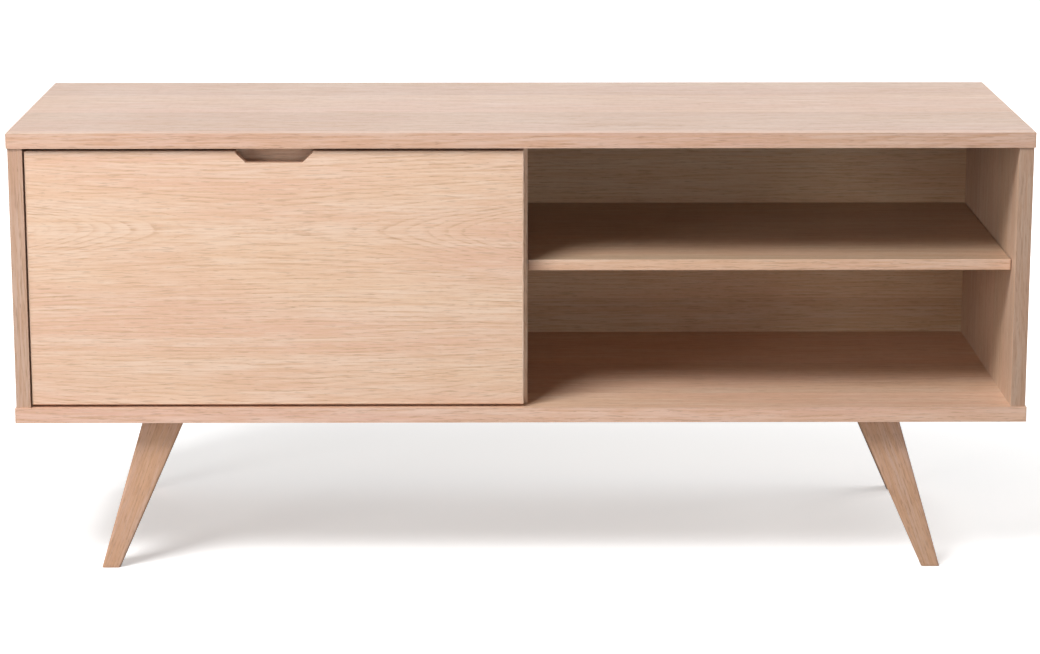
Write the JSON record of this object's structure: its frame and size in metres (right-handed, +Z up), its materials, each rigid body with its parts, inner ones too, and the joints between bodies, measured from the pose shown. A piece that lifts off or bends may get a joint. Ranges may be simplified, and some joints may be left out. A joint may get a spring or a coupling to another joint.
{
  "type": "low media cabinet",
  "caption": "Low oak media cabinet on raked tapered legs, with a drop-front door beside an open bay and shelf.",
  "frame": {"origin": "on the floor, under the middle of the top and bottom boards", "axes": "+X along the length, to the right as you face the door; +Y to the back; +Z up"},
  "size_m": [1.2, 0.4, 0.535],
  "materials": {
    "oak_veneer": "oak veneer with a white-tinted matt oil",
    "solid_oak": "solid oak with a clear matt oil",
    "beech": "bare beech",
    "zinc_plated_steel": "bright zinc plate",
    "nickel_plated_steel": "satin nickel plate",
    "white_plastic": "moulded, fine matt texture",
    "magnet": "sintered ferrite, matt",
    "clear_rubber": "clear polyurethane, soft gloss"
  },
  "bodies": {
    "cabinet": {"top_panel": "oak_veneer", "bottom_panel": "oak_veneer", "left_side": "oak_veneer", "right_side": "oak_veneer", "divider": "oak_veneer", "back_panel": "oak_veneer", "stop_rail": "oak_veneer", "shelf": "oak_veneer", "shelf_pins": "zinc_plated_steel", "leg_front_left": "solid_oak", "leg_front_right": "solid_oak", "leg_rear_left": "solid_oak", "leg_rear_right": "solid_oak", "leg_studs": "zinc_plated_steel", "leg_inserts": "zinc_plated_steel", "leg_dowels": "beech", "top_side_dowels": "beech", "bottom_side_dowels": "beech", "top_divider_dowels": "beech", "bottom_divider_dowels": "beech", "rail_dowels": "beech", "hinge_arm_left": "nickel_plated_steel", "hinge_arm_right": "nickel_plated_steel", "hinge_arm_screws": "zinc_plated_steel", "stay_side_plate": "zinc_plated_steel", "stay_side_screws": "zinc_plated_steel", "stay_guide_stud": "zinc_plated_steel", "catch_housing": "white_plastic", "catch_magnet": "magnet", "catch_screws": "zinc_plated_steel", "door_bumpers": "clear_rubber"},
    "door": {"door": "oak_veneer", "hinge_cup_left": "nickel_plated_steel", "hinge_cup_right": "nickel_plated_steel", "hinge_pin_left": "zinc_plated_steel", "hinge_pin_right": "zinc_plated_steel", "hinge_cup_screws": "zinc_plated_steel", "stay_door_bracket": "zinc_plated_steel", "stay_door_screws": "zinc_plated_steel", "stay_rivet": "zinc_plated_steel", "catch_strike": "zinc_plated_steel", "catch_strike_screw": "zinc_plated_steel"},
    "stay": {"stay_arm": "zinc_plated_steel"}
  },
  "joints": [
    {"name": "door_hinge", "type": "hinge", "parent": "cabinet", "child": "door", "pos_m": [-0.2885, -0.1885, 0.2145], "axis": [1, 0, 0], "range_deg": [0, 90]},
    {"name": "stay_pivot", "type": "hinge", "parent": "door", "child": "stay", "pos_m": [-0.5775, -0.169, 0.3345], "axis": [1, 0, 0], "range_deg": [-45, 0]}
  ],
  "couplings": [
    {"joint": "stay_pivot", "follows": "door_hinge", "ratio": -0.5}
  ]
}
